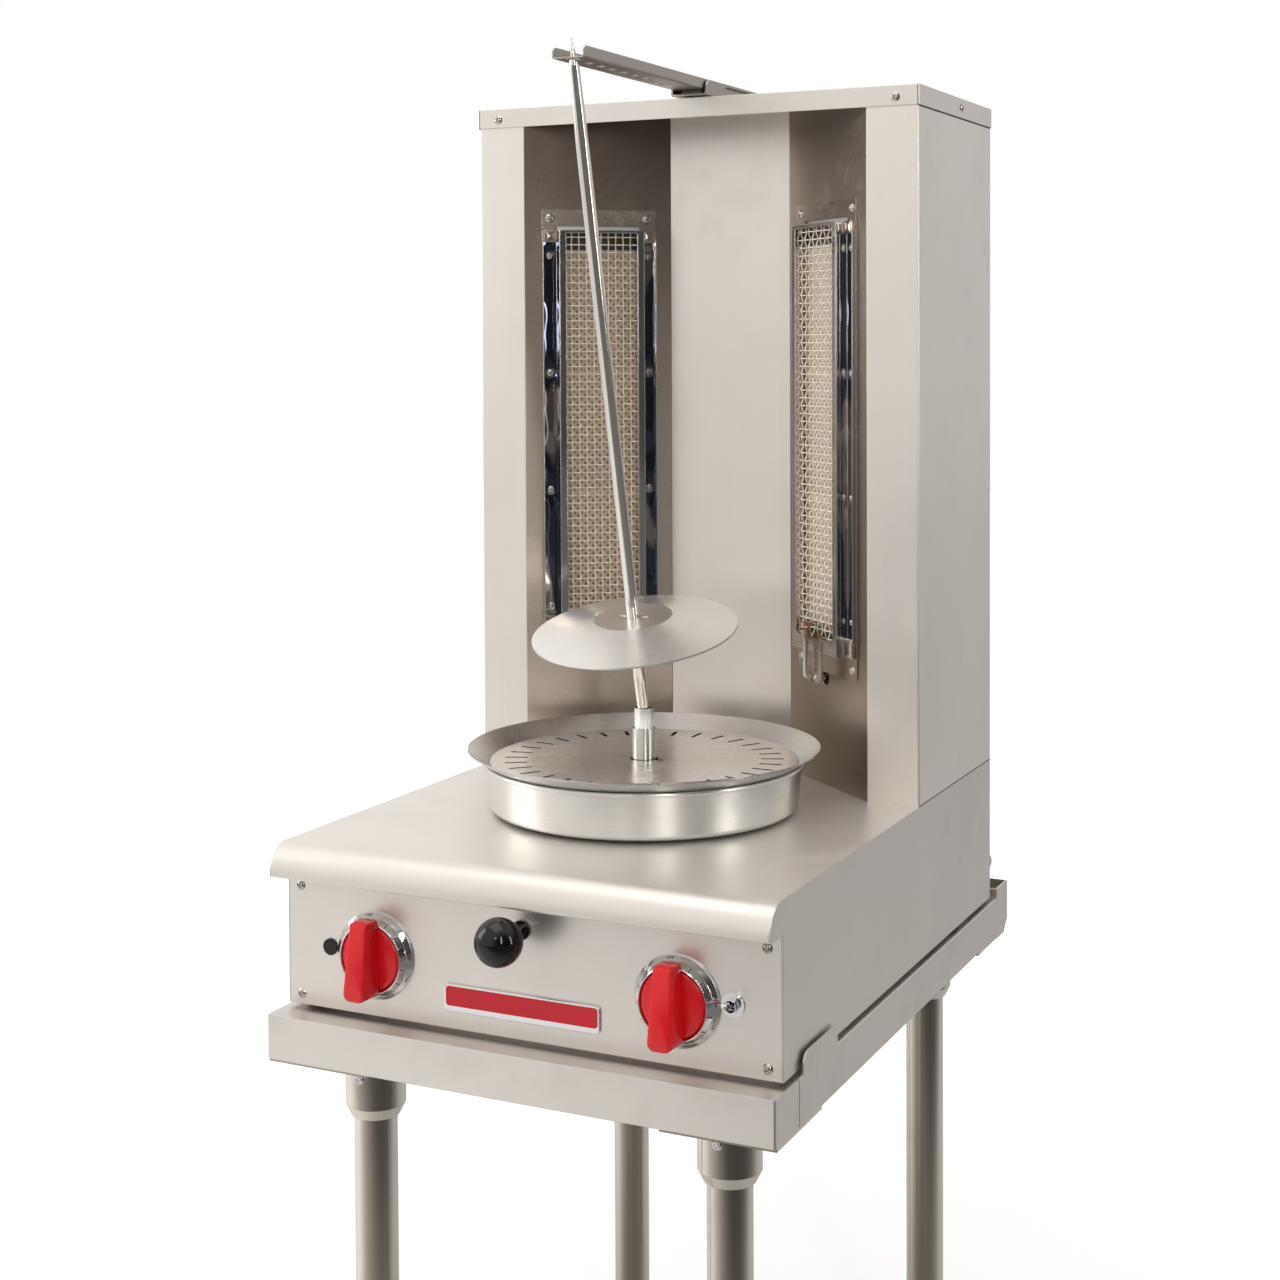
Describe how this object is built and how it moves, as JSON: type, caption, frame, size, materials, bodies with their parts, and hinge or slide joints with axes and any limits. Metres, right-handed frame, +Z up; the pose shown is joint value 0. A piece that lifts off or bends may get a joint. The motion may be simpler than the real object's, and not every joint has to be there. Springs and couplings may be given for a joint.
{
  "type": "doner kebab grill",
  "caption": "Upright gas kebab grill on a tube-leg stand: bullnosed cabinet, tower with angled infrared burners, leaning skewer over drip pans, sliding top arm.",
  "frame": {"origin": "on the floor, midway across and midway between the front ball and the rear gas inlet", "axes": "+X right seen from the front, +Y to the back, +Z up"},
  "size_m": [0.517, 0.756, 1.531],
  "materials": {
    "stainless": "brushed",
    "cabinet_steel": "brushed",
    "tower_steel": "brushed",
    "screen_wire": "bright wire",
    "ceramic": "fired ceramic, matte",
    "plated_steel": "zinc plated",
    "spit_steel": "polished stainless",
    "disc_alloy": "satin",
    "chrome": "polished",
    "valve_brass": "turned",
    "red_plastic": "glossy",
    "black_gloss": "glossy",
    "motor_paint": "satin",
    "pad_rubber": "matte"
  },
  "bodies": {
    "cabinet": {"arm_bracket": "spit_steel", "arm_slide_pad": "pad_rubber", "bottom_pan": "cabinet_steel", "burner_boxes": "plated_steel", "burner_frames": "tower_steel", "burner_mesh_left": "screen_wire", "burner_mesh_right": "screen_wire", "burner_plates": "tower_steel", "burner_tiles": "ceramic", "burner_wall_left": "tower_steel", "burner_wall_right": "tower_steel", "cabinet_back": "cabinet_steel", "cabinet_sides": "cabinet_steel", "centre_panel": "tower_steel", "deck": "cabinet_steel", "front_panel": "cabinet_steel", "gas_valves": "plated_steel", "guide_rods": "plated_steel", "hole_plug": "black_gloss", "knob_bezels": "chrome", "leg_feet": "stainless", "leg_mounts": "stainless", "legs": "stainless", "machine_pads": "pad_rubber", "manifold_pipe": "plated_steel", "panel_screws": "spit_steel", "pilot_burners": "plated_steel", "power_gland": "black_gloss", "rail_brackets": "plated_steel", "rod_bushing": "black_gloss", "stand_front_channel": "stainless", "stand_rails": "stainless", "stand_rear_channel": "stainless", "supply_tubes": "plated_steel", "toggle_switch": "chrome", "top_cover": "tower_steel", "tower_back": "tower_steel", "tower_side_left": "tower_steel", "tower_side_right": "tower_steel"},
    "carriage": {"carriage_plate": "plated_steel", "carriage_neck": "plated_steel", "gear_motor": "motor_paint", "pull_rod": "spit_steel", "ball_knob": "black_gloss", "catch_drum": "spit_steel"},
    "drive": {"drive_socket": "spit_steel", "socket_pin": "spit_steel"},
    "spit": {"skewer": "spit_steel", "disc_pin": "spit_steel"},
    "disc": {"meat_disc": "disc_alloy"},
    "tray": {"drip_tray": "spit_steel"},
    "plate": {"slotted_plate": "spit_steel"},
    "arm_slider": {"arm_pin": "spit_steel"},
    "arm": {"spit_arm": "spit_steel"},
    "left_knob": {"knob_left": "red_plastic", "valve_stem_left": "valve_brass"},
    "right_knob": {"knob_right": "red_plastic", "valve_stem_right": "valve_brass"},
    "toggle": {"toggle_lever": "chrome"}
  },
  "joints": [
    {"name": "carriage_slide", "type": "slide", "parent": "cabinet", "child": "carriage", "axis": [0, 1, 0], "range_m": [-0.09, 0.012]},
    {"name": "arm_slide", "type": "slide", "parent": "cabinet", "child": "arm_slider", "axis": [0, 1, 0], "range_m": [-0.09, 0.012]},
    {"name": "arm_tilt", "type": "hinge", "parent": "arm_slider", "child": "arm", "pos_m": [0, 0.205, 1.514], "axis": [-1, 0, 0], "range_deg": [0, 80]},
    {"name": "spit_spin", "type": "hinge", "parent": "carriage", "child": "spit", "pos_m": [0, -0.057, 0.864], "axis": [0, -0.2207, 0.9753], "continuous": true},
    {"name": "drive_spin", "type": "hinge", "parent": "carriage", "child": "drive", "pos_m": [0, -0.057, 0.864], "axis": [0, 0, 1], "continuous": true},
    {"name": "disc_slide", "type": "slide", "parent": "spit", "child": "disc", "axis": [0, -0.2207, 0.9753], "range_m": [0, 0.4]},
    {"name": "tray_lift", "type": "slide", "parent": "carriage", "child": "tray", "axis": [0, 0, 1], "range_m": [0, 0.016]},
    {"name": "plate_lift", "type": "slide", "parent": "tray", "child": "plate", "axis": [0, 0, 1], "range_m": [0, 0.03]},
    {"name": "left_knob_turn", "type": "hinge", "parent": "cabinet", "child": "left_knob", "pos_m": [-0.155, -0.315, 0.671], "axis": [0, -1, 0], "range_deg": [0, 210]},
    {"name": "right_knob_turn", "type": "hinge", "parent": "cabinet", "child": "right_knob", "pos_m": [0.155, -0.315, 0.671], "axis": [0, -1, 0], "range_deg": [0, 210]},
    {"name": "toggle_flip", "type": "hinge", "parent": "cabinet", "child": "toggle", "pos_m": [0.2075, -0.3138, 0.675], "axis": [1, 0, 0], "range_deg": [0, 24]}
  ],
  "couplings": [
    {"joint": "arm_slide", "follows": "carriage_slide", "ratio": 1},
    {"joint": "drive_spin", "follows": "spit_spin", "ratio": 1}
  ]
}
